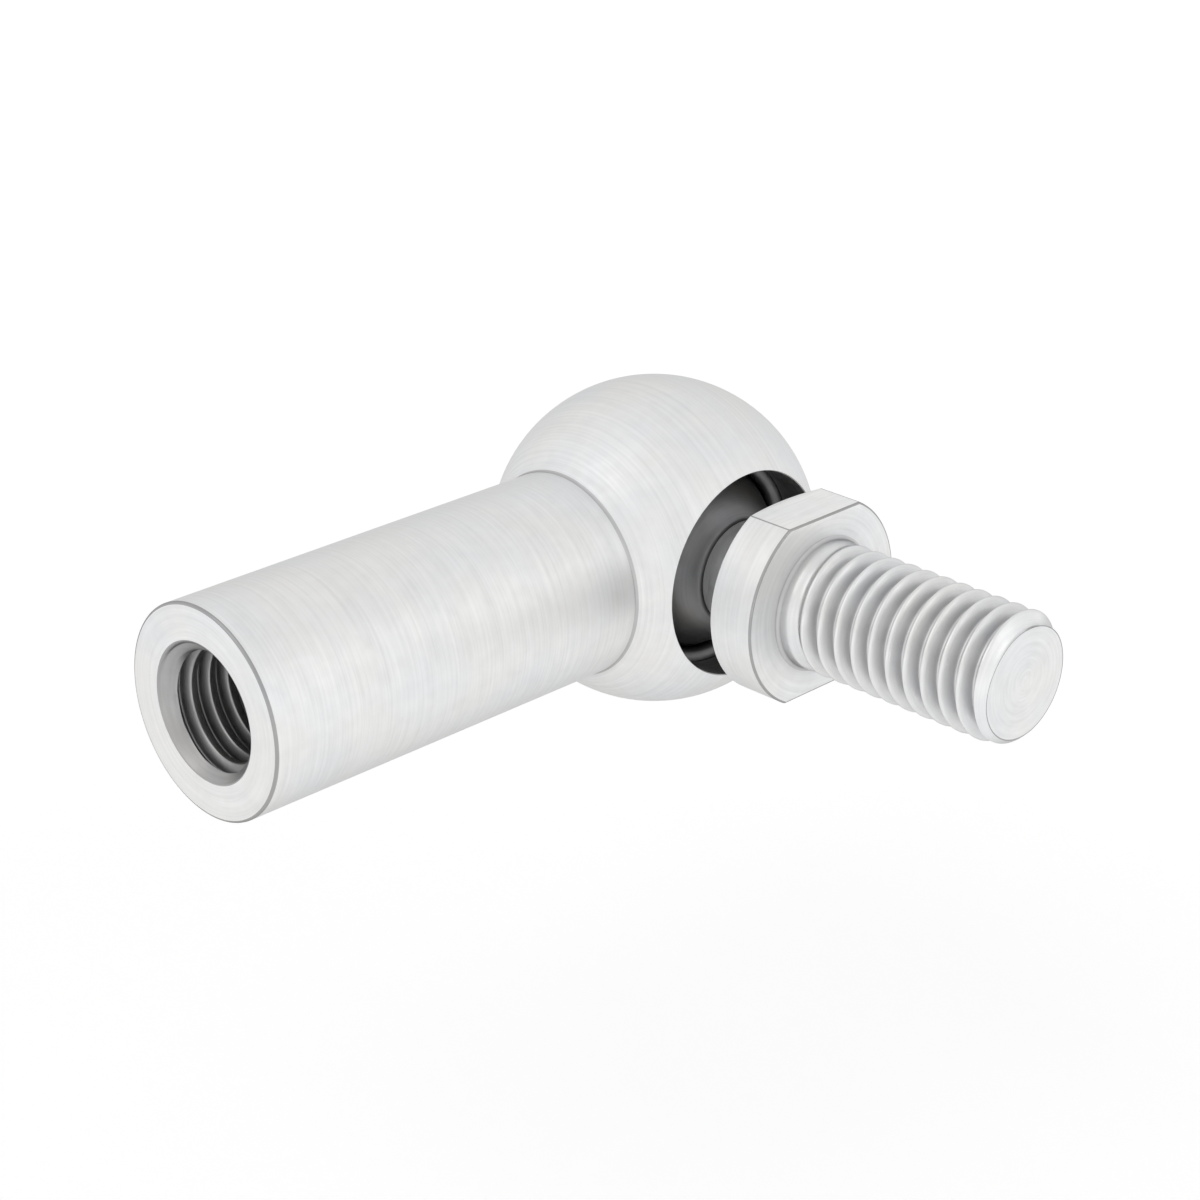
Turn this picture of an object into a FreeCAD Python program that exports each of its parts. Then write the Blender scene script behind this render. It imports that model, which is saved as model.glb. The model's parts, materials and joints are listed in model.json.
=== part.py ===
import FreeCAD, Part
import math
import os
from enum import IntEnum
import Sketcher

# Angle ball joint: a ball socket on a threaded shank, a ball stud at a right angle to it, and the
# wire ring that keeps the ball in its seat. Millimetres, +Z up. The origin is the centre of the
# shank's mouth, +X runs out of that mouth along the shank, and +Y runs out along the stud.

doc = FreeCAD.newDocument("AngleBallJoint")
sheet = doc.addObject("Spreadsheet::Sheet", "sizes")

SIZES = {
    # Ball socket: a round head on a round shank, bored and tapped from the shank's end
    "head_diameter": 12.8,
    "shank_diameter": 8.0,
    "shank_reach": 22.0,
    "thread_diameter": 5.0,
    "thread_depth": 10.5,
    "tap_runout": 2.5,
    "core_diameter": 4.2,
    "drill_half_angle": 59.0,
    # The ball and its drilled seat, which lie ahead of the shank's axis, towards the stud
    "ball_diameter": 8.0,
    "ball_flat_diameter": 3.0,
    "ball_lead": 0.95,
    "seat_clearance": 0.03,
    "rim_break": 0.06,
    # The wire ring, which reaches in over the ball by its bite, and its groove
    "wire_diameter": 0.8,
    "ring_bite": 0.4,
    "ring_clearance": 0.05,
    "ring_gap_angle": 40.0,
    # The stud: neck, collar with two flats, and the end that takes the thread
    "neck_diameter": 4.0,
    "collar_diameter": 8.0,
    "collar_flats": 7.0,
    "collar_gap": 0.45,
    "collar_thickness": 1.95,
    "collar_back_angle": 20.0,
    "stud_diameter": 5.0,
    "stud_length": 9.4,
    "tip_chamfer": 0.3,
    # Broken edges, and how far a cut runs past the material
    "edge_break": 0.1,
    "cut_margin": 1.0,
}

# Sizes worked out from the ones above
DERIVED = {
    "head_radius": "=head_diameter / 2",
    "shank_radius": "=shank_diameter / 2",
    "shank_root": "=sqrt(head_radius ^ 2 - shank_radius ^ 2)",
    "thread_radius": "=thread_diameter / 2",
    "core_radius": "=core_diameter / 2",
    "thread_end": "=shank_reach - thread_depth",
    "core_end": "=thread_end - tap_runout",
    "drill_tip": "=core_end - core_radius / tan(drill_half_angle)",
    "ball_radius": "=ball_diameter / 2",
    "seat_radius": "=ball_radius + seat_clearance",
    "seat_tip": "=ball_lead - seat_radius / sin(drill_half_angle)",
    "seat_shoulder": "=seat_tip + seat_radius / tan(drill_half_angle)",
    "rim_height": "=sqrt(head_radius ^ 2 - seat_radius ^ 2)",
    "wire_radius": "=wire_diameter / 2",
    "ring_radius": "=ball_radius - ring_bite + wire_radius",
    "ring_standoff": "=ball_radius + wire_radius + ring_clearance",
    "ring_lead": "=ball_lead + sqrt(ring_standoff ^ 2 - ring_radius ^ 2)",
    "ring_sweep": "=360 - ring_gap_angle",
    "groove_radius": "=ball_radius + wire_diameter + ring_clearance",
    "groove_half_width": "=wire_radius + ring_clearance",
    "ball_flat_radius": "=ball_flat_diameter / 2",
    "ball_back": "=sqrt(ball_radius ^ 2 - ball_flat_radius ^ 2)",
    "neck_radius": "=neck_diameter / 2",
    "neck_root": "=sqrt(ball_radius ^ 2 - neck_radius ^ 2)",
    "collar_radius": "=collar_diameter / 2",
    "flat_distance": "=collar_flats / 2",
    "collar_back": "=head_radius + collar_gap - ball_lead",
    "collar_face": "=collar_back + collar_thickness",
    "collar_root": "=collar_back - (collar_radius - neck_radius) * tan(collar_back_angle)",
    "stud_radius": "=stud_diameter / 2",
    "stud_tip": "=collar_face + stud_length",
}

FULL_TURN = 360
NEAR = 1e-4


class SketchAxis(IntEnum):
    """A sketch's own two axes, by the numbers that its constraints know them by."""

    ACROSS = -1
    ALONG = -2


class PointOf(IntEnum):
    """The points of an edge, by the numbers that a sketch's constraints know them by."""

    START = 1
    END = 2
    CENTRE = 3


ORIGIN_POINT = (SketchAxis.ACROSS, PointOf.START)


def fill_sheet():
    """Write every size into the sheet, one row each: its name, then its value."""
    for row, (alias, content) in enumerate({**SIZES, **DERIVED}.items(), start=1):
        sheet.set(f"A{row}", alias)
        sheet.set(f"B{row}", str(content))
        sheet.setAlias(f"B{row}", alias)
    doc.recompute()


def value(formula):
    """Work out a formula on the sheet's sizes."""
    return float(sheet.evalExpression(formula))


def new_body(name):
    """Start a sub-part, labelled with the name of its file."""
    body = doc.addObject("PartDesign::Body", name)
    body.Label = name
    return body


def origin_plane(body, role):
    """Find one of the body's own three planes."""
    return next(plane for plane in body.Origin.OriginFeatures if plane.Role == role)


def new_sketch(body, name, role="XY_Plane", across=None, lift=None):
    """Attach a sketch to an origin plane, moved across it or lifted off it by a formula."""
    sketch = body.newObject("Sketcher::SketchObject", name)
    sketch.AttachmentSupport = [(origin_plane(body, role), "")]
    sketch.MapMode = "FlatFace"
    if across:
        sketch.setExpression("AttachmentOffset.Base.x", across)
    if lift:
        sketch.setExpression("AttachmentOffset.Base.z", lift)
    return sketch


class Outline:
    """A closed outline in a sketch, drawn corner by corner and dimensioned from the sheet.

    Each corner is a pair of formulas: its place across the sketch and along it.
    """

    def __init__(self, sketch, across, along):
        self.sketch = sketch
        self.corners = [(across, along)]
        self.edges = []
        self.loose = set()

    def line_to(self, across, along):
        """Draw a straight edge to the next corner."""
        self.corners.append((across, along))
        self.edges.append(None)
        return self

    def arc_to(self, across, along, centre, radius, clockwise=False):
        """Draw an arc to the next corner about a centre on the along axis."""
        self.corners.append((across, along))
        self.edges.append((centre, radius, clockwise))
        return self

    def free(self, which):
        """Leave the last corner's place across or along to the arc that it ends or starts."""
        self.loose.add((len(self.corners) - 1, which))
        return self

    def close(self):
        """Draw the last edge back to the first corner, then tie every corner to the sheet."""
        self.edges.append(None)
        ends = [self.draw(index) for index in range(len(self.corners))]
        for index, (geometry, _, finish) in enumerate(ends):
            following, start, _ = ends[(index + 1) % len(ends)]
            self.hold("Coincident", geometry, finish, following, start)
        for index, (geometry, start, _) in enumerate(ends):
            self.place(index, (geometry, start))
        doc.recompute()
        return self.sketch

    def draw(self, index):
        """Add one edge and return its number, its first end and its last end."""
        first = self.point(index)
        last = self.point((index + 1) % len(self.corners))
        ends = (PointOf.START, PointOf.END)
        if self.edges[index] is None:
            return self.sketch.addGeometry(Part.LineSegment(first, last)), *ends
        centre, radius, clockwise = self.edges[index]
        middle = FreeCAD.Vector(0, value(centre), 0)
        angles = [math.atan2(end.y - middle.y, end.x - middle.x) for end in (first, last)]
        if clockwise:
            angles.reverse()
            ends = (PointOf.END, PointOf.START)
        circle = Part.Circle(middle, FreeCAD.Vector(0, 0, 1), value(radius))
        geometry = self.sketch.addGeometry(Part.ArcOfCircle(circle, *angles))
        self.hold("Radius", geometry, formula=radius)
        self.hold_on_axis(SketchAxis.ALONG, geometry, PointOf.CENTRE)
        self.hold_distance("DistanceY", SketchAxis.ACROSS, (geometry, PointOf.CENTRE), centre)
        return geometry, *ends

    def point(self, index):
        """Work out a corner's place."""
        across, along = self.corners[index]
        return FreeCAD.Vector(value(across), value(along), 0)

    def hold(self, kind, *what, formula=None):
        """Add a constraint, with its size given by a formula where it has one."""
        size = [value(formula)] if formula else []
        number = self.sketch.addConstraint(Sketcher.Constraint(kind, *what, *size))
        if formula:
            self.sketch.setExpression(f"Constraints[{number}]", formula)

    def hold_on_axis(self, axis, geometry, end):
        """Keep a point on one of the sketch's axes."""
        self.hold("PointOnObject", geometry, end, axis)

    def hold_distance(self, kind, axis, point, formula):
        """Keep a point at a distance from the origin, or on the axis where that is nothing."""
        if formula == "0":
            self.hold_on_axis(axis, *point)
        else:
            self.hold(kind, *ORIGIN_POINT, *point, formula=formula)

    def place(self, index, point):
        """Square the edge before a corner where it runs straight, and dimension the rest."""
        before = self.corners[index - 1]
        straight = self.edges[index - 1] is None and index > 0
        for which, (name, kind, axis, square) in enumerate(
            (
                ("across", "DistanceX", SketchAxis.ALONG, "Vertical"),
                ("along", "DistanceY", SketchAxis.ACROSS, "Horizontal"),
            )
        ):
            formula = self.corners[index][which]
            if (index, name) in self.loose:
                continue
            if straight and formula == before[which] and formula != "0":
                self.hold(square, index - 1)
            else:
                self.hold_distance(kind, axis, point, formula)


def turn(body, name, sketch, axis, kind="PartDesign::Revolution", angle=None):
    """Revolve an outline about an axis of its sketch, to add material or, as a groove, cut it."""
    feature = body.newObject(kind, name)
    feature.Profile = (sketch, [""])
    feature.ReferenceAxis = (sketch, [axis])
    feature.Angle = FULL_TURN
    if angle:
        feature.Midplane = True
        feature.setExpression("Angle", angle)
    sketch.Visibility = False
    doc.recompute()
    return feature


def turned_cut(body, name, sketch, axis):
    """Cut a revolved outline out of a body, and make sure that it takes material away."""
    volume = body.Shape.Volume
    feature = turn(body, name, sketch, axis, "PartDesign::Groove")
    make_sure_it_cut(body, name, volume)
    return feature


def make_sure_it_cut(body, name, volume_before):
    """Stop if a cut took no material away."""
    if body.Shape.Volume > volume_before - NEAR:
        raise ValueError(f"{name} cuts nothing")


def make_ball_socket():
    """The socket: head and shank turned in one piece, tapped shank, ball seat and ring groove."""
    body = new_body("ball_socket")
    to_head = "-sizes.shank_reach"

    # Head and shank, turned about the shank's axis
    sketch = new_sketch(body, "socket_outline", across=to_head)
    outline = Outline(sketch, "-sizes.head_radius", "0")
    outline.free("across")
    outline.arc_to("sizes.shank_root", "sizes.shank_radius", "0", "sizes.head_radius", clockwise=True)
    outline.free("across")
    outline.line_to("sizes.shank_reach - sizes.edge_break", "sizes.shank_radius")
    outline.line_to("sizes.shank_reach", "sizes.shank_radius - sizes.edge_break")
    outline.line_to("sizes.shank_reach", "0")
    turn(body, "socket_blank", outline.close(), "H_Axis")

    # Tapped hole, core hole beyond it and the drill's point
    sketch = new_sketch(body, "shank_bore_outline", across=to_head)
    outline = Outline(sketch, "sizes.shank_reach", "0")
    outline.line_to("sizes.shank_reach", "sizes.thread_radius + sizes.edge_break")
    outline.line_to("sizes.shank_reach - sizes.edge_break", "sizes.thread_radius")
    outline.line_to("sizes.thread_end", "sizes.thread_radius")
    outline.line_to("sizes.thread_end", "sizes.core_radius")
    outline.line_to("sizes.core_end", "sizes.core_radius")
    outline.line_to("sizes.drill_tip", "0")
    turned_cut(body, "shank_bore", outline.close(), "H_Axis")

    # Ball seat: the drill's point, which backs the ball, the straight wall and the broken rim
    sketch = new_sketch(body, "ball_seat_outline", across=to_head)
    rim_corner = "sizes.rim_height - sizes.rim_break"
    outline = Outline(sketch, "0", "sizes.seat_tip")
    outline.line_to("sizes.seat_radius", "sizes.seat_shoulder")
    outline.line_to("sizes.seat_radius", rim_corner)
    outline.line_to("sizes.seat_radius + sizes.cut_margin", f"{rim_corner} + sizes.cut_margin")
    outline.line_to("sizes.seat_radius + sizes.cut_margin", "sizes.head_radius + sizes.cut_margin")
    outline.line_to("0", "sizes.head_radius + sizes.cut_margin")
    turned_cut(body, "ball_seat", outline.close(), "V_Axis")

    # Groove that the wire ring springs out into as the ball goes past it
    sketch = new_sketch(body, "ring_groove_outline", across=to_head)
    below = "sizes.ring_lead - sizes.groove_half_width"
    above = "sizes.ring_lead + sizes.groove_half_width"
    outline = Outline(sketch, "sizes.ball_radius - sizes.wire_radius", below)
    outline.line_to("sizes.groove_radius", below)
    outline.line_to("sizes.groove_radius", above)
    outline.line_to("sizes.ball_radius - sizes.wire_radius", above)
    turned_cut(body, "ring_groove", outline.close(), "V_Axis")
    return body


def make_snap_ring():
    """The ring: round spring wire bent to an open ring, its gap on the shank's side."""
    body = new_body("snap_ring")
    sketch = new_sketch(body, "wire_section")
    wire = sketch.addGeometry(
        Part.Circle(
            FreeCAD.Vector(value("sizes.ring_radius"), 0, 0),
            FreeCAD.Vector(0, 0, 1),
            value("sizes.wire_radius"),
        )
    )
    section = Outline(sketch, "0", "0")
    section.hold("Radius", wire, formula="sizes.wire_radius")
    section.hold_on_axis(SketchAxis.ACROSS, wire, PointOf.CENTRE)
    middle = (wire, PointOf.CENTRE)
    section.hold_distance("DistanceX", SketchAxis.ALONG, middle, "sizes.ring_radius")
    turn(body, "bent_wire", sketch, "V_Axis", angle="sizes.ring_sweep")
    body.Placement.Rotation = FreeCAD.Rotation(FreeCAD.Vector(0, 1, 0), FULL_TURN / 2)
    body.setExpression("Placement.Base.x", "-sizes.shank_reach")
    body.setExpression("Placement.Base.y", "sizes.ring_lead")
    return body


def make_ball_stud():
    """The stud: ball, neck, collar with two spanner flats and stud, turned in one piece.

    It is drawn about the ball's centre, with the stud along +Y.
    """
    body = new_body("ball_stud")
    sketch = new_sketch(body, "stud_outline")
    outline = Outline(sketch, "0", "-sizes.ball_back")
    outline.line_to("sizes.ball_flat_radius", "-sizes.ball_back")
    outline.free("along")
    outline.arc_to("sizes.neck_radius", "sizes.neck_root", "0", "sizes.ball_radius")
    outline.free("along")
    outline.line_to("sizes.neck_radius", "sizes.collar_root")
    outline.line_to("sizes.collar_radius", "sizes.collar_back")
    outline.line_to("sizes.collar_radius", "sizes.collar_face - sizes.edge_break")
    outline.line_to("sizes.collar_radius - sizes.edge_break", "sizes.collar_face")
    outline.line_to("sizes.stud_radius", "sizes.collar_face")
    outline.line_to("sizes.stud_radius", "sizes.stud_tip - sizes.tip_chamfer")
    outline.line_to("sizes.stud_radius - sizes.tip_chamfer", "sizes.stud_tip")
    outline.line_to("0", "sizes.stud_tip")
    turn(body, "stud_blank", outline.close(), "V_Axis")

    # One spanner flat, milled from the collar's face back past its slope, then its opposite
    sketch = new_sketch(body, "flat_outline", "XZ_Plane", lift="-sizes.collar_face")
    side = "sizes.collar_radius + sizes.cut_margin"
    outline = Outline(sketch, f"-({side})", "sizes.flat_distance")
    outline.line_to(side, "sizes.flat_distance")
    outline.line_to(side, side)
    outline.line_to(f"-({side})", side)
    volume = body.Shape.Volume
    flat = body.newObject("PartDesign::Pocket", "spanner_flat")
    flat.Profile = (outline.close(), [""])
    flat.Reversed = True
    flat.setExpression("Length", "sizes.collar_face - sizes.collar_root")
    doc.recompute()
    make_sure_it_cut(body, "spanner_flat", volume)
    one_flat = body.Shape.Volume
    opposite = body.newObject("PartDesign::Mirrored", "opposite_flat")
    opposite.Originals = [flat]
    opposite.MirrorPlane = (origin_plane(body, "XY_Plane"), [""])
    body.Tip = opposite
    doc.recompute()
    make_sure_it_cut(body, "opposite_flat", one_flat)

    body.setExpression("Placement.Base.x", "-sizes.shank_reach")
    body.setExpression("Placement.Base.y", "sizes.ball_lead")
    return body


def check_and_write(bodies):
    """Stop if anything failed to build, then write each sub-part to its own file."""
    doc.recompute()
    for item in doc.Objects:
        if {"Invalid", "Error"} & set(item.State):
            raise ValueError(f"{item.Name} failed to build")
    os.makedirs("parts", exist_ok=True)
    for body in bodies:
        if body.Shape.isNull() or not body.Shape.isValid():
            raise ValueError(f"{body.Label} is not a sound solid")
        print(body.Label, len(body.Shape.Solids), "solid", round(body.Shape.Volume, 3), "mm3")
        body.Shape.exportStep(f"parts/{body.Label}.step")


fill_sheet()
check_and_write([make_ball_socket(), make_snap_ring(), make_ball_stud()])
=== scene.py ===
"""Looks of an angle ball joint, built round its solids.

Socket and ball stud are turned steel with a satin zinc plating, and the ring is drawn spring wire.
Lengths are in metres, in the part's own frame: +X runs out of the shank's mouth, and +Y runs out
along the stud.
"""

import json
import logging
import math
from collections.abc import Callable, Sequence
from dataclasses import dataclass, field, replace
from enum import Enum

import bmesh
import bpy
import numpy as np
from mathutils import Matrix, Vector


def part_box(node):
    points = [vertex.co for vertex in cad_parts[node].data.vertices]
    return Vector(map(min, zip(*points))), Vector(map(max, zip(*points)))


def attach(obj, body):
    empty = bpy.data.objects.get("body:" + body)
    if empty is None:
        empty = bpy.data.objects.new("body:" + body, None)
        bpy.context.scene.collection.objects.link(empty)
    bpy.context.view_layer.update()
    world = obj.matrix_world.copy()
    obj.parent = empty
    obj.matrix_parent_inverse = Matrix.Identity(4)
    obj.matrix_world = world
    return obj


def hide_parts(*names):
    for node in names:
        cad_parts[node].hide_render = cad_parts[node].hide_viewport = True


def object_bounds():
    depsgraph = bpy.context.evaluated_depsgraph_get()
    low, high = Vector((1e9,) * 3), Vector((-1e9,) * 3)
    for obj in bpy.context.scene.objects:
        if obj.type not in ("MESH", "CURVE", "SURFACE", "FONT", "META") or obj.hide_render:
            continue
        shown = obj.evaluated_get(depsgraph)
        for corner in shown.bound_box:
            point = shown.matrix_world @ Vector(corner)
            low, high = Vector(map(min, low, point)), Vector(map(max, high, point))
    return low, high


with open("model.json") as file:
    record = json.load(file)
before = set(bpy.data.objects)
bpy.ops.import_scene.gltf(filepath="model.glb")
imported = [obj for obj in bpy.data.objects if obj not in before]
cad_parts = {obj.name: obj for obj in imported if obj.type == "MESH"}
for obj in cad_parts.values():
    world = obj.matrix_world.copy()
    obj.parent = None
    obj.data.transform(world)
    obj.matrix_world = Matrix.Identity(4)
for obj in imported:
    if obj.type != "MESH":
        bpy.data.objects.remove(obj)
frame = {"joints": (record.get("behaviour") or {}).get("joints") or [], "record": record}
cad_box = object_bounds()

LOG = logging.getLogger("angle_ball_joint")

MM = 0.001
MICRON = 0.001 * MM
FULL_TURN = 360.0
HALF_TURN = 180.0
QUARTER_TURN = 90.0
EIGHTH_TURN = 45.0

Port = bpy.types.NodeSocket
Value = Port | float | tuple[float, ...]
Colour = tuple[float, float, float]
Span = tuple[float, float]
Trim = Callable[[np.ndarray, np.ndarray], np.ndarray]


class TurningAxis(Enum):
    """How a turned part lies in the frame: its axis, then the two directions across it."""

    SHANK = ((1.0, 0.0, 0.0), (0.0, 1.0, 0.0), (0.0, 0.0, 1.0))
    STUD = ((0.0, 1.0, 0.0), (0.0, 0.0, 1.0), (1.0, 0.0, 0.0))

    @property
    def letter(self) -> str:
        """Letter of the axis."""
        return "XYZ"[self.value[0].index(1.0)]


class Lay(Enum):
    """Which way the fine marks of a surface run."""

    ROUND_THE_AXIS = "round"
    ACROSS_THE_FLAT = "flat"


@dataclass(frozen=True)
class Place:
    """Where a turned part's own axis lies in the frame.

    Attributes:
        origin: the point that places along the axis are counted from.
        axis: the way that the part lies.
    """

    origin: Vector
    axis: TurningAxis

    def points(self, along: np.ndarray, radius: np.ndarray, angle: np.ndarray) -> np.ndarray:
        """Turn places along, out from and round the axis into points of the frame.

        Args:
            along: places along the axis.
            radius: distances from the axis.
            angle: angles round the axis, in degrees.

        Returns:
            One point for each place, as rows of three numbers.
        """
        axis, first, second = np.array(self.axis.value)
        turned = np.radians(angle)
        across = np.multiply.outer(radius * np.cos(turned), first)
        across += np.multiply.outer(radius * np.sin(turned), second)
        return np.array(self.origin) + np.multiply.outer(along, axis) + across


@dataclass(frozen=True)
class Steps:
    """Longest steps between two points of a half section.

    Attributes:
        ball: on a ball, in degrees.
        fillet: on a hollow round, in degrees.
        edge: on a broken edge, in degrees.
        rim: on the rim of a hole, in degrees.
        side: along the outside of a rod.
        seat: along a drilled seat.
        bore: along a deep hole and its point.
        face: across a flat face or a narrow groove.
        cap: across the end of a cutter, which cuts nothing.
    """

    ball: float = 2.4
    fillet: float = 18.0
    edge: float = 22.5
    rim: float = 15.0
    side: float = 0.8 * MM
    seat: float = 0.5 * MM
    bore: float = 0.4 * MM
    face: float = 0.3 * MM
    cap: float = 2.0 * MM


STEPS = Steps()


def run(start: tuple[float, float], end: tuple[float, float], step: float) -> np.ndarray:
    """Draw a straight stretch of a half section.

    Args:
        start: where it starts, along the axis and out from it.
        end: where it ends.
        step: the longest distance between two of its points.

    Returns:
        Its points, one row each.
    """
    count = max(1, math.ceil(math.dist(start, end) / step))
    return np.linspace(start, end, count + 1)


def arc(
    centre: tuple[float, float], radius: float, start: float, end: float, step: float
) -> np.ndarray:
    """Draw a round stretch of a half section.

    Args:
        centre: its centre, along the axis and out from it.
        radius: its radius.
        start: the angle that it starts at, in degrees from the axis's own direction.
        end: the angle that it ends at.
        step: the largest angle between two of its points.

    Returns:
        Its points, one row each.
    """
    count = max(1, math.ceil(abs(end - start) / step))
    angles = np.radians(np.linspace(start, end, count + 1))
    return np.stack(
        [centre[0] + radius * np.cos(angles), centre[1] + radius * np.sin(angles)], axis=1
    )


def meet(first: np.ndarray, second: np.ndarray, softness: np.ndarray | float) -> np.ndarray:
    """Take the larger of two heights, with the corner where they meet rounded.

    Args:
        first: one height.
        second: the other height.
        softness: how far apart they still count as meeting.

    Returns:
        The larger height, or slightly more where they meet.
    """
    return (first + second + np.hypot(first - second, softness)) / 2


def fade(share: np.ndarray) -> np.ndarray:
    """Ease a share that runs from 0 to 1 in and out, and hold it there."""
    held = np.clip(share, 0.0, 1.0)
    return held * held * (3.0 - 2.0 * held)


@dataclass(frozen=True)
class Fillet:
    """A hollow round where a ball runs into a rod on the same axis.

    Attributes:
        ball_radius: the ball, with its centre at the origin of the half section.
        rod_radius: the rod.
        radius: the fillet.
    """

    ball_radius: float
    rod_radius: float
    radius: float

    @property
    def centre(self) -> tuple[float, float]:
        """Centre of the fillet, along the axis and out from it."""
        out = self.rod_radius + self.radius
        return math.sqrt((self.ball_radius + self.radius) ** 2 - out**2), out

    @property
    def ball_angle(self) -> float:
        """Angle at the ball's centre at which the ball ends, in degrees from the axis."""
        along, out = self.centre
        return math.degrees(math.atan2(out, along))

    def path(self, step: float) -> np.ndarray:
        """Draw the fillet from the ball to the rod, with points no more than a step apart."""
        start = self.ball_angle - HALF_TURN
        return arc(self.centre, self.radius, start, -QUARTER_TURN, step)


@dataclass(frozen=True)
class ThreadForm:
    """Section of a metric thread: flanks at 60 degrees between two narrow flats.

    Attributes:
        pitch: distance from one turn to the next.
        outer_radius: radius of the flat that lies furthest out.
        inner_radius: radius of the flat that lies furthest in.
        softness: how far each corner of the section is rounded to either side.
        flank_angle: angle of a flank against a square cut, in degrees.
        outer_flat_share: width of the outer flat, as a share of the pitch.
        flank_lines: how many rows of points a flank has, with its two corners.
        soft_samples: how many places the rounding averages.
        spare_turns: turns drawn past each end, which the square cut there uses up.
    """

    pitch: float
    outer_radius: float
    inner_radius: float
    softness: float = 0.028 * MM
    flank_angle: float = 30.0
    outer_flat_share: float = 0.125
    flank_lines: int = 5
    soft_samples: int = 9
    spare_turns: int = 2

    @property
    def corners(self) -> np.ndarray:
        """Work out where the section's corners lie.

        Returns:
            Places of its four corners within one pitch.
        """
        half_flat = self.pitch * self.outer_flat_share / 2
        height = self.outer_radius - self.inner_radius
        foot = half_flat + height * math.tan(math.radians(self.flank_angle))
        return np.array([half_flat, foot, self.pitch - foot, self.pitch - half_flat])

    @property
    def lines(self) -> np.ndarray:
        """Work out where the section needs rows of points.

        Returns:
            Places within one pitch: its corners, their rounds and its flanks.
        """
        corners = self.corners
        rounds = np.add.outer(corners, self.softness * np.array([-1.0, 0.0, 1.0])).ravel()
        flanks = np.linspace(corners[0], corners[1], self.flank_lines)[1:-1]
        return np.sort(np.concatenate([rounds, flanks, self.pitch - flanks]))

    def radius(self, place: np.ndarray) -> np.ndarray:
        """Work out the thread's radius at places along its axis.

        Args:
            place: places along the axis, counted from the middle of a turn's outer flat.

        Returns:
            The radius at each place.
        """
        knots = np.concatenate([[0.0], self.corners, [self.pitch]])
        heights = np.array([1.0, 1.0, 0.0, 0.0, 1.0, 1.0])
        offsets = np.linspace(-self.softness, self.softness, self.soft_samples)
        share = sum(np.interp((place + shift) % self.pitch, knots, heights) for shift in offsets)
        rise = self.outer_radius - self.inner_radius
        return self.inner_radius + rise * share / self.soft_samples


@dataclass(frozen=True)
class Noise:
    """Soft noise that colour, gloss or relief follows.

    Attributes:
        scale: how fine it is, in waves on a millimetre.
        detail: how many finer layers it has.
        span: the span that most of its values lie in.
    """

    scale: float
    detail: float
    span: Span = (0.3, 0.7)


PATCHES = Noise(scale=0.34, detail=3.0, span=(0.35, 0.65))
CLOUDS = Noise(scale=1.7, detail=4.0)
GRAIN = Noise(scale=26.0, detail=3.0)
MARKS = Noise(scale=1.0, detail=5.0)


class NodeSheet:
    """Adds and joins nodes.

    Attributes:
        tree: the nodes and the links between them.
    """

    def __init__(self, tree: bpy.types.NodeTree) -> None:
        """Take over a tree of nodes."""
        self.tree = tree

    def node(self, kind: str, **settings: object) -> bpy.types.Node:
        """Add a node.

        Args:
            kind: what kind it is.
            **settings: its settings, by name.

        Returns:
            The node.
        """
        node = self.tree.nodes.new(kind)
        for key, setting in settings.items():
            setattr(node, key, setting)
        return node

    def join(self, source: Value, target: Port) -> None:
        """Join an output to an input, or write a plain value in the input.

        Args:
            source: the output, or the value.
            target: the input.
        """
        if isinstance(source, bpy.types.NodeSocket):
            self.tree.links.new(source, target)
        else:
            target.default_value = source

    def feed(self, kind: str, *values: Value, **settings: object) -> Port:
        """Add a node and feed its first inputs in order.

        Args:
            kind: what kind it is.
            *values: what its inputs get.
            **settings: its settings, by name.

        Returns:
            Its first output.
        """
        node = self.node(kind, **settings)
        for value, target in zip(values, node.inputs):
            self.join(value, target)
        return node.outputs[0]

    def calculate(self, operation: str, *values: Value) -> Port:
        """Work a sum of one or two values."""
        return self.feed("ShaderNodeMath", *values, operation=operation)

    def combine(self, *values: Value) -> Port:
        """Put three values together as a vector."""
        return self.feed("ShaderNodeCombineXYZ", *values)

    def spread(self, source: Value, given: Span, wanted: Span) -> Port:
        """Stretch a value from a given span to a wanted one, and hold it there."""
        return self.feed("ShaderNodeMapRange", source, *given, *wanted)

    def seen(self) -> Port:
        """Tell what camera, gloss and glass see from what lights the joint.

        Returns:
            1 for what they see, and 0 for light.
        """
        path = self.node("ShaderNodeLightPath").outputs
        mirrored = self.calculate("MAXIMUM", path["Is Camera Ray"], path["Is Glossy Ray"])
        return self.calculate("MAXIMUM", mirrored, path["Is Transmission Ray"])


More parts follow.
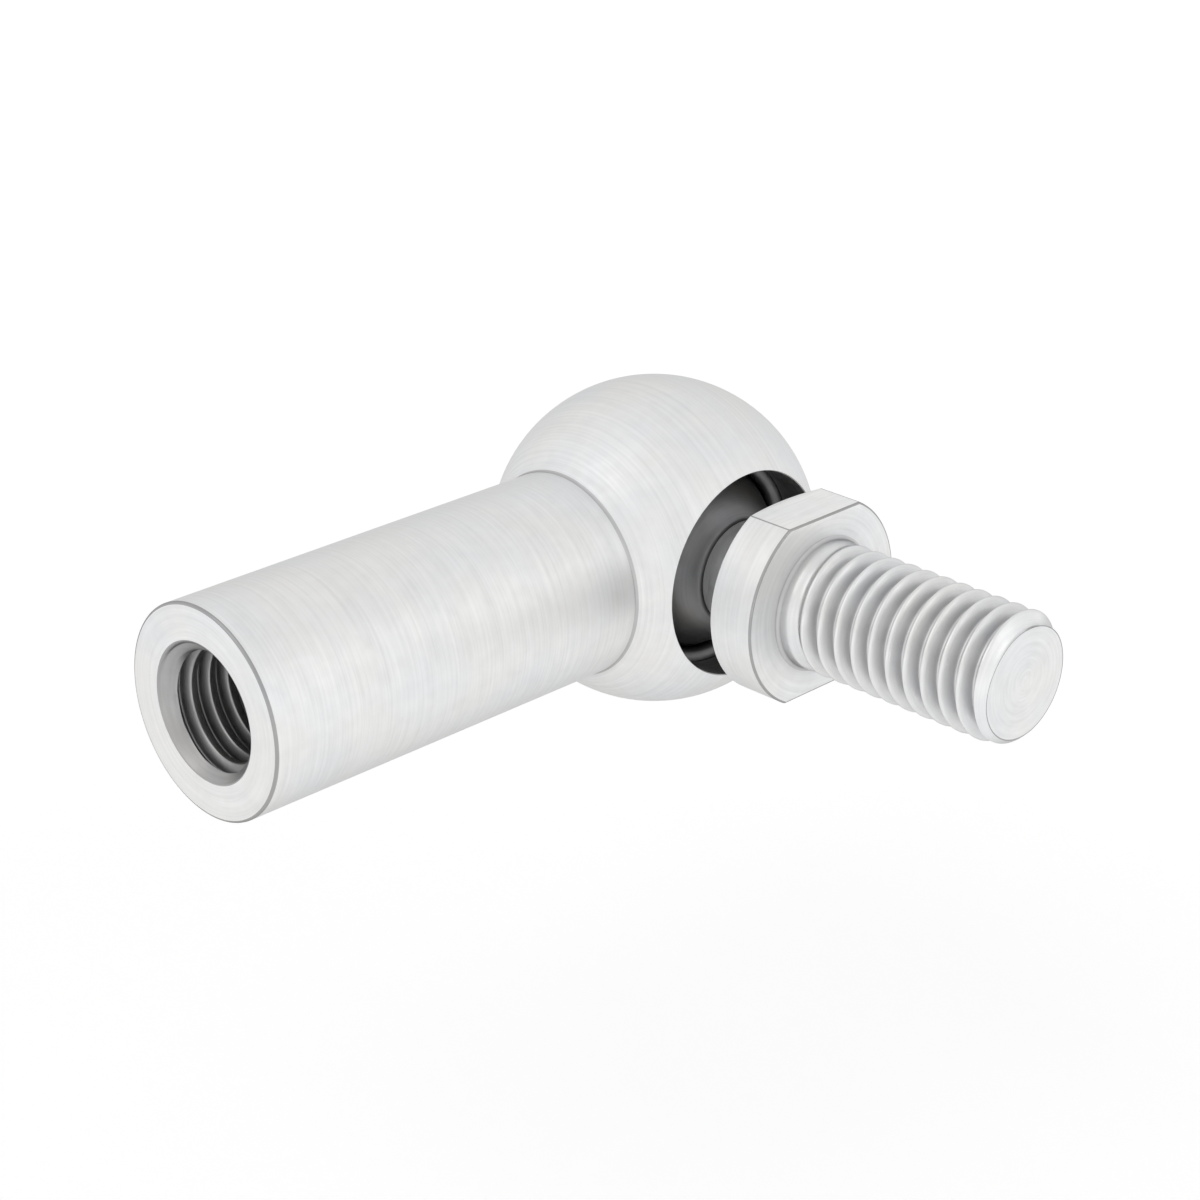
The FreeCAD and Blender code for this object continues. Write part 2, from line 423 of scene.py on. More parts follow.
class Shader(NodeSheet):
    """Adds and joins the nodes of one material.

    Attributes:
        material: the material.
        surface: its own surface shader.
    """

    def __init__(self, name: str) -> None:
        """Start a material.

        Args:
            name: what it is called.
        """
        self.material = bpy.data.materials.new(name)
        self.material.use_nodes = True
        super().__init__(self.material.node_tree)
        self.surface = self.tree.nodes["Principled BSDF"]

    def settle(self, **values: Value) -> None:
        """Write or join values in the surface's own inputs, named with _ for each space."""
        for name, value in values.items():
            self.join(value, self.surface.inputs[name.replace("_", " ")])

    def noise(self, vector: Value, noise: Noise, fourth: Value = 0.0) -> Port:
        """Draw soft noise.

        Args:
            vector: where it is read.
            noise: what it is like.
            fourth: a fourth coordinate, which keeps noise round an axis free of a seam.

        Returns:
            The noise, about a half on average.
        """
        node = self.node("ShaderNodeTexNoise", noise_dimensions="4D")
        self.join(vector, node.inputs["Vector"])
        self.join(fourth, node.inputs["W"])
        self.join(noise.scale, node.inputs["Scale"])
        self.join(noise.detail, node.inputs["Detail"])
        return node.outputs["Fac"]

    def mix(self, share: Value, first: Value, last: Value, blend: str = "MIX") -> Port:
        """Mix two colours.

        Args:
            share: how much of the last colour there is.
            first: the first colour.
            last: the last colour.
            blend: the way that they are blended.

        Returns:
            The mixed colour.
        """
        node = self.node("ShaderNodeMix", data_type="RGBA", blend_type=blend)
        self.join(share, node.inputs["Factor"])
        colours = [port for port in node.inputs if port.type == "RGBA"]
        for value, target in zip((first, last), colours):
            self.join(value, target)
        return next(port for port in node.outputs if port.type == "RGBA")

    def relief(self, height: Value, distance: float, below: Value | None = None) -> Port:
        """Raise the surface.

        Args:
            height: how far each place is raised, as a share.
            distance: how far a share of 1 is.
            below: a relief that it lies on.

        Returns:
            The surface's normal.
        """
        node = self.node("ShaderNodeBump")
        self.join(height, node.inputs["Height"])
        self.join(distance, node.inputs["Distance"])
        if below is not None:
            self.join(below, node.inputs["Normal"])
        return node.outputs[0]

    def openness(self, distance: float, inside: bool) -> Port:
        """Measure how open each place lies.

        Args:
            distance: how far around it is looked.
            inside: whether it is looked into the metal, which tells where that is thin.

        Returns:
            From 0, where all round is closed, to 1.
        """
        node = self.node("ShaderNodeAmbientOcclusion", samples=8, inside=inside)
        self.join(distance, node.inputs["Distance"])
        return node.outputs["AO"]


def opaque(colour: Colour) -> tuple[float, ...]:
    """Give a colour its alpha."""
    return (*colour, 1.0)


def grey(level: float) -> Colour:
    """Make a grey of a level."""
    return (level, level, level)


@dataclass(frozen=True)
class SurfacePoint:
    """Where a point of a surface lies, in millimetres, as outputs of a material's nodes.

    Attributes:
        along: its place along the axis.
        first: its place in the first direction across the axis.
        second: its place in the second one.
        radius: its distance from the axis.
        place: its first three places, as a vector.
    """

    along: Port
    first: Port
    second: Port
    radius: Port
    place: Port


@dataclass(frozen=True)
class SteelFinish:
    """A steel surface: its colour, its gloss, the fine marks that its making left, and painted
    shade in its corners.

    Attributes:
        name: what the finish is called.
        colour: colour of the clean metal.
        warm_colour: colour of the patches where the surface has a warmer cast.
        corner_shade_colour: colour of the painted shade that it takes on in deep corners.
        roughness: how dull it is on average.
        mark_density: how many marks lie side by side on a millimetre.
        mark_depth: how deep they are.
        mark_length: how little they change along their own run: less is longer.
        mark_dulling: roughness added at the bottom of a mark, and between marks.
        streak: how strongly they show in colour.
        lay: the way that they run.
        anisotropy: how far the marks stretch a highlight across their own run.
        cloud_tone: how bright the darkest clouds are.
        cloud_dulling: roughness added in the darkest clouds, and in the brightest.
        grain_depth: how deep the plating's fine grain is.
        corner_reach: how far the painted shade of a corner reaches round it.
        corner_shade_span: how open it lies where the painted shade is strongest, and where it
            ends.
        crest_gloss: how far narrow crests are rubbed bright.
        crest_width: how thick a crest is that still counts as narrow.
        crest_span: how thin it is where the rubbing is strongest, and where it ends.
        crest_colour: colour of the rubbed metal.
        crest_polish: how much less rough it is.
        grazing_share: how much of its light it keeps where it is seen almost edge on.
        axis_clearance: how near to the axis marks still narrow, in millimetres.
    """

    name: str
    colour: Colour
    warm_colour: Colour
    corner_shade_colour: Colour
    roughness: float
    mark_density: float = 9.0
    mark_depth: float = 1.2 * MICRON
    mark_length: float = 0.9
    mark_dulling: Span = (0.06, -0.04)
    streak: float = 0.08
    lay: Lay = Lay.ROUND_THE_AXIS
    anisotropy: float = 0.3
    cloud_tone: float = 0.965
    cloud_dulling: Span = (0.05, -0.03)
    grain_depth: float = 0.5 * MICRON
    corner_reach: float = 0.9 * MM
    corner_shade_span: Span = (0.25, 0.95)
    crest_gloss: float = 0.0
    crest_width: float = 0.07 * MM
    crest_span: Span = (0.55, 0.9)
    crest_colour: Colour = grey(0.95)
    crest_polish: float = 0.2
    grazing_share: float = 0.5
    axis_clearance: float = 0.01

    def make(self, piece: str, place: Place) -> bpy.types.Material:
        """Make the material for a turned piece.

        Args:
            piece: name of the piece.
            place: where the piece's axis lies.

        Returns:
            The material.
        """
        shader = Shader(f"{piece}_{self.name}")
        point = self.locate(shader, place)
        marks = self.marks(shader, point)
        cloud = shader.noise(point.place, CLOUDS)
        crest = self.crest(shader)
        fine = shader.relief(shader.noise(point.place, GRAIN), self.grain_depth)
        shader.settle(
            Base_Color=self.tint(shader, point, marks, cloud, crest),
            Roughness=self.dullness(shader, marks, cloud, crest),
            Normal=shader.relief(marks, self.mark_depth, fine),
            Metallic=1.0,
            Specular_Tint=opaque(grey(self.grazing_share)),
        )
        if self.lay is Lay.ROUND_THE_AXIS:
            shader.settle(
                Anisotropic=self.anisotropy,
                Anisotropic_Rotation=QUARTER_TURN / FULL_TURN,
                Tangent=shader.feed(
                    "ShaderNodeTangent", direction_type="RADIAL", axis=place.axis.letter
                ),
            )
        return shader.material

    def locate(self, shader: Shader, place: Place) -> SurfacePoint:
        """Work out where a point of the surface lies.

        Args:
            shader: the material's nodes.
            place: where the piece's axis lies.

        Returns:
            The point, counted from the place's origin.
        """
        source = shader.node("ShaderNodeTexCoord").outputs["Object"]
        origin = tuple(place.origin)
        moved = shader.feed("ShaderNodeVectorMath", source, origin, operation="SUBTRACT")
        scaled = shader.node("ShaderNodeVectorMath", operation="SCALE")
        shader.join(moved, scaled.inputs[0])
        shader.join(1 / MM, scaled.inputs["Scale"])
        apart = shader.node("ShaderNodeSeparateXYZ")
        shader.join(scaled.outputs[0], apart.inputs[0])
        order = [direction.index(1.0) for direction in place.axis.value]
        along, first, second = (apart.outputs[index] for index in order)
        squares = [shader.calculate("MULTIPLY", across, across) for across in (first, second)]
        radius = shader.calculate("SQRT", shader.calculate("ADD", *squares))
        return SurfacePoint(along, first, second, radius, shader.combine(along, first, second))

    def marks(self, shader: Shader, point: SurfacePoint) -> Port:
        """Draw the fine marks, which run round the axis or straight across a flat.

        Args:
            shader: the material's nodes.
            point: where the surface's points lie.

        Returns:
            Height of the marks, about a half on average.
        """
        if self.lay is Lay.ACROSS_THE_FLAT:
            vector = shader.combine(
                shader.calculate("MULTIPLY", point.along, self.mark_density),
                shader.calculate("MULTIPLY", point.second, self.mark_length),
                point.first,
            )
            return shader.noise(vector, MARKS)
        clear = shader.calculate("MAXIMUM", point.radius, self.axis_clearance)
        cosine = shader.calculate("DIVIDE", point.first, clear)
        sine = shader.calculate("DIVIDE", point.second, clear)
        vector = shader.combine(
            shader.calculate("MULTIPLY", point.along, self.mark_density),
            shader.calculate("MULTIPLY", point.radius, self.mark_density),
            shader.calculate("MULTIPLY", cosine, self.mark_length),
        )
        return shader.noise(vector, MARKS, shader.calculate("MULTIPLY", sine, self.mark_length))

    def crest(self, shader: Shader) -> Value:
        """Find the narrow crests, which wear bright.

        Args:
            shader: the material's nodes.

        Returns:
            How far each place is rubbed.
        """
        if not self.crest_gloss:
            return 0.0
        thickness = shader.openness(self.crest_width, inside=True)
        return shader.spread(thickness, self.crest_span, (self.crest_gloss, 0.0))

    def tint(
        self, shader: Shader, point: SurfacePoint, marks: Port, cloud: Port, crest: Value
    ) -> Port:
        """Mix the surface's colour, with painted shade in its corners.

        Args:
            shader: the material's nodes.
            point: where the surface's points lie.
            marks: height of the fine marks.
            cloud: soft clouds.
            crest: how far each place is rubbed.

        Returns:
            The colour.
        """
        patches = shader.spread(shader.noise(point.place, PATCHES), PATCHES.span, (0.0, 1.0))
        colour = shader.mix(patches, opaque(self.colour), opaque(self.warm_colour))
        shade = shader.spread(marks, MARKS.span, (1.0 - self.streak, 1.0))
        clouded = shader.spread(cloud, CLOUDS.span, (self.cloud_tone, 1.0))
        tone = shader.calculate("MULTIPLY", shade, clouded)
        colour = shader.mix(1.0, colour, shader.combine(tone, tone, tone), "MULTIPLY")
        # Painted shade: the colour darkens towards corner_shade_colour where little is open round
        # the surface.
        openness = shader.openness(self.corner_reach, inside=False)
        corner = shader.spread(openness, self.corner_shade_span, (1.0, 0.0))
        colour = shader.mix(corner, colour, opaque(self.corner_shade_colour))
        return shader.mix(crest, colour, opaque(self.crest_colour))

    def dullness(self, shader: Shader, marks: Port, cloud: Port, crest: Value) -> Port:
        """Work out the roughness.

        Args:
            shader: the material's nodes.
            marks: height of the fine marks.
            cloud: soft clouds.
            crest: how far each place is rubbed.

        Returns:
            The roughness: more in marks and dark clouds, less where a crest is rubbed.
        """
        in_marks, between = (self.roughness + added for added in self.mark_dulling)
        marked = shader.spread(marks, MARKS.span, (in_marks, between))
        clouded = shader.spread(cloud, CLOUDS.span, self.cloud_dulling)
        polish = shader.calculate("MULTIPLY", crest, self.crest_polish)
        return shader.calculate("SUBTRACT", shader.calculate("ADD", marked, clouded), polish)


PLATED = SteelFinish(
    name="zinc_plated",
    colour=(0.885, 0.892, 0.901),
    warm_colour=(0.905, 0.901, 0.887),
    corner_shade_colour=(0.60, 0.60, 0.61),
    roughness=0.50,
)
MILLED = replace(
    PLATED,
    name="milled_flats",
    mark_density=11.0,
    mark_length=0.5,
    lay=Lay.ACROSS_THE_FLAT,
    grazing_share=1.0,
)
# Painted shade: the broken edges are coloured dark, so that each shows as a thin shaded line.
SHADED_EDGE = replace(
    PLATED,
    name="shaded_broken_edges",
    colour=(0.40, 0.40, 0.41),
    warm_colour=(0.42, 0.415, 0.405),
    corner_shade_colour=(0.30, 0.30, 0.31),
    roughness=0.30,
)
# Painted shade: the fillets at the roots get a darker colour that stands for the shade in those
# creases.
SHADED_ROOT = replace(
    PLATED,
    name="shaded_filleted_roots",
    colour=(0.56, 0.56, 0.57),
    warm_colour=(0.58, 0.575, 0.565),
    roughness=0.40,
)
NECK = replace(
    PLATED, name="turned_neck", corner_shade_colour=(0.70, 0.70, 0.71), roughness=0.5, streak=0.05
)
THREADED = SteelFinish(
    name="plated_thread",
    colour=(0.865, 0.873, 0.883),
    warm_colour=(0.885, 0.882, 0.868),
    corner_shade_colour=(0.46, 0.46, 0.47),
    roughness=0.32,
    mark_density=14.0,
    mark_depth=0.6 * MICRON,
    crest_gloss=0.4,
)
# The ball's dark colour is partly burnished steel and partly painted shade, standing for the shade
# inside the socket's opening.
BURNISHED_AND_SHADED = SteelFinish(
    name="burnished_and_shaded_ball",
    colour=(0.20, 0.203, 0.21),
    warm_colour=(0.212, 0.208, 0.203),
    corner_shade_colour=(0.15, 0.15, 0.154),
    roughness=0.42,
    mark_density=16.0,
    mark_depth=0.3 * MICRON,
    streak=0.05,
    anisotropy=0.1,
)
TAPPED = SteelFinish(
    name="bare_tapped_steel",
    colour=(0.45, 0.45, 0.455),
    warm_colour=(0.46, 0.452, 0.444),
    corner_shade_colour=(0.24, 0.24, 0.245),
    roughness=0.36,
    mark_density=7.0,
    mark_depth=1.6 * MICRON,
    streak=0.16,
)
BORED = replace(
    TAPPED, name="bare_bored_seat", colour=(0.46, 0.46, 0.465), corner_shade_colour=(0.34, 0.34, 0.345)
)
WIRE = SteelFinish(
    name="drawn_spring_wire",
    colour=(0.25, 0.25, 0.26),
    warm_colour=(0.265, 0.26, 0.255),
    corner_shade_colour=(0.16, 0.16, 0.165),
    roughness=0.40,
    mark_density=24.0,
    mark_length=1.6,
    mark_depth=0.5 * MICRON,
)


@dataclass
class TurnedMesh:
    """A mesh gathered strip by strip along an axis of turning, and then closed.

    Attributes:
        place: where its axis lies.
        angles: angles of its columns of points, over one full turn.
        merge_distance: how near points lie that are joined into one.
        least_length: how short an edge is that is taken out.
        sharp_angle: how far two faces turn, in degrees, before the edge between them is sharp.
        points: its points so far, strip by strip.
        faces: its faces so far, by the numbers of their points.
        numbers: the number of each face's finish.
        palette: the finishes, by their numbers.
    """

    place: Place
    angles: np.ndarray
    merge_distance: float = 2.0 * MICRON
    least_length: float = 0.1 * MICRON
    sharp_angle: float = 33.0
    points: list[np.ndarray] = field(default_factory=list)
    faces: list[tuple[int, ...]] = field(default_factory=list)
    numbers: list[int] = field(default_factory=list)
    palette: list[SteelFinish] = field(default_factory=list)

    def number(self, finish: SteelFinish) -> int:
        """Look up a finish's number, and add the finish if it is new.

        Args:
            finish: the finish.

        Returns:
            Its number.
        """
        if finish not in self.palette:
            self.palette.append(finish)
        return self.palette.index(finish)

    def strip(
        self,
        along: np.ndarray,
        radius: np.ndarray,
        finish: SteelFinish | Sequence[SteelFinish],
        angle: np.ndarray | None = None,
    ) -> None:
        """Add a strip of faces through rows of points.

        Args:
            along: place of each row, or of each of its points, along the axis.
            radius: distance of the same rows or points from the axis.
            finish: the strip's finish, or one for each of its columns of faces.
            angle: angles of the points, where they aren't the mesh's own columns.
        """
        if angle is None:
            angle = np.tile(self.angles, (len(along), 1))
        columns = len(self.angles)
        shape = (len(along), columns)
        rows = (along, radius, angle)
        grids = [np.broadcast_to(part.reshape(len(part), -1), shape) for part in rows]
        first = sum(len(part) for part in self.points)
        self.points.append(self.place.points(*grids).reshape(-1, 3))
        finishes = [finish] * (columns - 1) if isinstance(finish, SteelFinish) else finish
        for row in range(len(along) - 1):
            for column in range(columns - 1):
                corner = first + row * columns + column
                self.faces.append((corner, corner + 1, corner + columns + 1, corner + columns))
        self.numbers.extend([self.number(one) for one in finishes] * (len(along) - 1))

    def turned(self, finish: SteelFinish, *stretches: np.ndarray) -> None:
        """Add a strip turned from the stretches of a half section, in a finish."""
        path = np.concatenate(stretches)
        self.strip(path[:, 0], path[:, 1], finish)

    def threaded(
        self, start: float, end: float, form: ThreadForm, trim: Trim, finish: SteelFinish
    ) -> None:
        """Add a threaded strip, whose rows of points follow the helix and stop square at its ends.

        Args:
            start: where it starts along the axis.
            end: where it ends.
            form: section of the thread.
            trim: works out the final radius from places along the axis and the thread's radius.
            finish: the strip's finish.
        """
        first = math.floor(start / form.pitch) - form.spare_turns
        last = math.ceil(end / form.pitch) + form.spare_turns
        rows = np.add.outer(np.arange(first, last) * form.pitch, form.lines).ravel()
        lead = form.pitch * self.angles / FULL_TURN
        along = np.clip(np.add.outer(rows, lead), start, end)
        self.strip(along, trim(along, form.radius(along - lead)), finish)

    def build(self, name: str) -> bpy.types.Object:
        """Close the strips into one piece with its finishes, smooth between its sharp edges.

        Args:
            name: name of the piece.

        Returns:
            The piece, in the scene.
        """
        mesh = bpy.data.meshes.new(name)
        mesh.from_pydata(np.concatenate(self.points).tolist(), [], self.faces)
        mesh.polygons.foreach_set("material_index", self.numbers)
        form = bmesh.new()
        form.from_mesh(mesh)
        bmesh.ops.remove_doubles(form, verts=form.verts, dist=self.merge_distance)
        bmesh.ops.dissolve_degenerate(form, edges=form.edges, dist=self.least_length)
        bmesh.ops.recalc_face_normals(form, faces=form.faces)
        form.to_mesh(mesh)
        form.free()
        shade(mesh, self.sharp_angle)
        for finish in self.palette:
            mesh.materials.append(finish.make(name, self.place))
        return new_piece(name, mesh)


def shade(mesh: bpy.types.Mesh, sharp_angle: float) -> None:
    """Shade a mesh smooth, apart from edges where it turns by more than an angle.

    Args:
        mesh: the mesh.
        sharp_angle: that angle, in degrees.
    """
    form = bmesh.new()
    form.from_mesh(mesh)
    for face in form.faces:
        face.smooth = True
    for edge in form.edges:
        edge.smooth = edge.calc_face_angle(math.pi) < math.radians(sharp_angle)
    form.to_mesh(mesh)
    form.free()


def open_edges(mesh: bpy.types.Mesh) -> int:
    """Count the edges of a mesh that don't join exactly two faces.

    Args:
        mesh: the mesh.

    Returns:
        How many there are, which is none on a closed mesh.
    """
    form = bmesh.new()
    form.from_mesh(mesh)
    count = sum(1 for edge in form.edges if not edge.is_manifold)
    form.free()
    return count


def new_piece(name: str, mesh: bpy.types.Mesh) -> bpy.types.Object:
    """Put a mesh into the scene as an object of its own.

    Args:
        name: name of the object.
        mesh: its mesh.

    Returns:
        The object.
    """
    piece = bpy.data.objects.new(name, mesh)
    bpy.context.scene.collection.objects.link(piece)
    return piece


def dress(piece: bpy.types.Object, body: str, node: str) -> None:
    """Even out a finished piece's shading and tie it to the frame.

    Args:
        piece: the piece.
        body: the body that it rides on.
        node: the solid that it stands for.
    """
    modifier = piece.modifiers.new("even_normals", "WEIGHTED_NORMAL")
    modifier.keep_sharp = True
    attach(piece, body)
    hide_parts(node)


def low(node: str) -> Vector:
    """Lowest corner of a solid."""
    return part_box(node)[0]


def high(node: str) -> Vector:
    """Highest corner of a solid."""
    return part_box(node)[1]


def mount(name: str) -> dict:
    """Find a mount in the record."""
    return next(entry for entry in frame["record"]["mounts"] if entry["name"] == name)


def joint(name: str) -> dict:
    """Find a joint in the record."""
    return next(entry for entry in frame["joints"] if entry["name"] == name)


@dataclass
class BallSocket:
    """The socket: head and shank turned in one piece, tapped shank, ball seat and ring groove.

    Attributes:
        name: name of the piece.
        columns: how many columns of faces go round it.
        cutter_lag: how far the seat's columns lie behind the head's, as a share of a column.
        head_radius: radius of the round head.
        shank_radius: radius of the shank.
        root_fillet: radius of the fillet between head and shank.
        edge_round: radius of the broken edge at the shank's end.
        thread_radius: radius at the bottom of the tapped thread.
        thread_pitch: distance from one of its turns to the next.
        thread_depth: depth at which it is half faded out.
        thread_runout: length over which it fades out.
        core_radius: radius of the core hole that it is cut in.
        core_depth: depth of the core hole, without the drill's point.
        mouth_radius: radius of the countersink at the shank's end.
        mouth_round: radius of its rubbed rim, which is coloured dark with painted shade.
        drill_half_angle: half the angle of a drill's point, in degrees.
        seat_radius: radius of the drilled seat.
        seat_lead: how far the ball's centre lies ahead of the shank's axis.
        groove_radius: radius at the bottom of the ring's groove.
        groove_width: width of the groove.
        rim_chamfer: size of the broken edge where the seat opens in the head.
        cut_margin: how far the seat's cutter reaches past the head.
        corner_softness: how softly thread and countersink meet.
    """

    name: str = "socket"
    columns: int = 144
    cutter_lag: float = 0.5
    head_radius: float = high("ball_socket").z
    shank_radius: float = 4.0 * MM
    root_fillet: float = 0.18 * MM
    edge_round: float = 0.1 * MM
    thread_radius: float = mount("shank_thread")["dims"]["r_mm"] * MM
    thread_pitch: float = 0.8 * MM
    thread_depth: float = 10.5 * MM
    thread_runout: float = 1.4 * MM
    core_radius: float = 2.1 * MM
    core_depth: float = 13.0 * MM
    mouth_radius: float = 2.6 * MM
    mouth_round: float = 0.08 * MM
    drill_half_angle: float = 59.0
    seat_radius: float = 4.03 * MM
    seat_lead: float = 0.95 * MM
    groove_radius: float = 4.85 * MM
    groove_width: float = 0.9 * MM
    rim_chamfer: float = 0.07 * MM
    cut_margin: float = 1.0 * MM
    corner_softness: float = 0.05 * MM

    @property
    def head_centre(self) -> Vector:
        """Centre of the round head."""
        return Vector((low("ball_socket").x + self.head_radius, 0.0, 0.0))

    @property
    def mouth(self) -> float:
        """Place of the shank's end along its axis, counted from the head's centre."""
        return -self.head_centre.x

    @property
    def mouth_depth(self) -> float:
        """Depth at which the mouth's round ends and the plain countersink starts."""
        return self.mouth_round * (1.0 - math.cos(math.radians(EIGHTH_TURN)))

    def turned_about(self, axis: TurningAxis, lag: float = 0.0) -> TurnedMesh:
        """Start a mesh that is turned about an axis through the head's centre.

        Args:
            axis: the axis.
            lag: share of a column by which its columns of points lag behind.

        Returns:
            The mesh, still empty.
        """
        angles = np.arange(self.columns + 1) + lag
        return TurnedMesh(Place(self.head_centre, axis), angles * FULL_TURN / self.columns)

    def blank(self) -> bpy.types.Object:
        """Turn head, shank and tapped hole about the shank's axis.

        Returns:
            The socket, without its ball seat.
        """
        part = self.turned_about(TurningAxis.SHANK)
        root = Fillet(self.head_radius, self.shank_radius, self.root_fillet)
        side_start = (root.centre[0], self.shank_radius)
        corner = (self.mouth - self.edge_round, self.shank_radius - self.edge_round)
        side_end = (corner[0], self.shank_radius)
        rim = self.mouth_radius + self.mouth_round * math.tan(math.radians(EIGHTH_TURN / 2))
        rim_centre = (self.mouth - self.mouth_round, rim)
        head = arc((0.0, 0.0), self.head_radius, HALF_TURN, root.ball_angle, STEPS.ball)
        part.turned(PLATED, head)
        part.turned(SHADED_ROOT, root.path(STEPS.fillet))
        part.turned(PLATED, run(side_start, side_end, STEPS.side))
        part.turned(SHADED_EDGE, arc(corner, self.edge_round, QUARTER_TURN, 0.0, STEPS.edge))
        part.turned(PLATED, run((self.mouth, corner[1]), (self.mouth, rim), STEPS.face))
        part.turned(SHADED_EDGE, arc(rim_centre, self.mouth_round, 0.0, -EIGHTH_TURN, STEPS.rim))
        self.bore(part)
        return part.build(self.name)

    def bore(self, part: TurnedMesh) -> None:
        """Add the tapped hole, the core hole beyond its thread and the drill's point.

        Args:
            part: the mesh of the socket.
        """
        thread_end = self.mouth - self.thread_depth - self.thread_runout / 2
        form = ThreadForm(self.thread_pitch, self.thread_radius, self.core_radius)
        part.threaded(thread_end, self.mouth - self.mouth_depth, form, self.trim_bore, TAPPED)
        core_end = self.mouth - self.core_depth
        drill_tip = core_end - self.core_radius / math.tan(math.radians(self.drill_half_angle))
        part.turned(
            TAPPED,
            run((thread_end, self.core_radius), (core_end, self.core_radius), STEPS.bore),
            run((core_end, self.core_radius), (drill_tip, 0.0), STEPS.bore),
        )

    def trim_bore(self, along: np.ndarray, radius: np.ndarray) -> np.ndarray:
        """Fade the tapped thread out at its end and cut the countersink at the mouth.

        Args:
            along: places along the shank's axis.
            radius: radius of the thread at each of them.

        Returns:
            The final radius at each of them.
        """
        depth = self.mouth - along
        last = self.thread_depth + self.thread_runout / 2
        share = fade((last - depth) / self.thread_runout)
        thread = self.core_radius + (radius - self.core_radius) * share
        blend = np.clip((depth - self.mouth_depth) / self.edge_round, 0.0, 1.0)
        softness = self.corner_softness * blend * (depth < self.thread_pitch)
        return meet(thread, self.mouth_radius - depth, softness)

    def seat_cutter(self) -> bpy.types.Object:
        """Turn the shape that the drilled ball seat and the ring's groove are cut with.

        Returns:
            The cutter.
        """
        part = self.turned_about(TurningAxis.STUD, self.cutter_lag)
        slope = math.radians(self.drill_half_angle)
        tip = self.seat_lead - self.seat_radius / math.sin(slope)
        shoulder = tip + self.seat_radius / math.tan(slope)
        middle = (low("snap_ring").y + high("snap_ring").y) / 2
        below = middle - self.groove_width / 2
        above = middle + self.groove_width / 2
        rim = math.sqrt(self.head_radius**2 - self.seat_radius**2) - self.rim_chamfer
        flare = self.head_radius - rim + self.cut_margin
        flared = (rim + flare, self.seat_radius + flare)
        part.turned(
            BORED,
            run((tip, 0.0), (shoulder, self.seat_radius), STEPS.seat),
            run((shoulder, self.seat_radius), (below, self.seat_radius), STEPS.seat),
            run((below, self.seat_radius), (below, self.groove_radius), STEPS.face),
            run((below, self.groove_radius), (above, self.groove_radius), STEPS.face),
            run((above, self.groove_radius), (above, self.seat_radius), STEPS.face),
            run((above, self.seat_radius), (rim, self.seat_radius), STEPS.seat),
        )
        part.turned(
            SHADED_EDGE,
            run((rim, self.seat_radius), flared, STEPS.seat),
            run(flared, (rim + flare, 0.0), STEPS.cap),
        )
        return part.build("ball_seat")

    def build(self) -> bpy.types.Object:
        """Make the socket and tie it to the frame.

        Returns:
            The socket.
        """
        piece = self.blank()
        cutter = self.seat_cutter()
        cut = piece.modifiers.new("ball_seat", "BOOLEAN")
        cut.object = cutter
        cut.operation = "DIFFERENCE"
        cut.solver = "EXACT"
        cut.material_mode = "TRANSFER"
        view = bpy.context.evaluated_depsgraph_get()
        carved = bpy.data.meshes.new_from_object(piece.evaluated_get(view))
        piece.modifiers.clear()
        piece.data = carved
        bpy.data.objects.remove(cutter)
        shade(carved, TurnedMesh.sharp_angle)
        dress(piece, "socket", "ball_socket")
        return piece


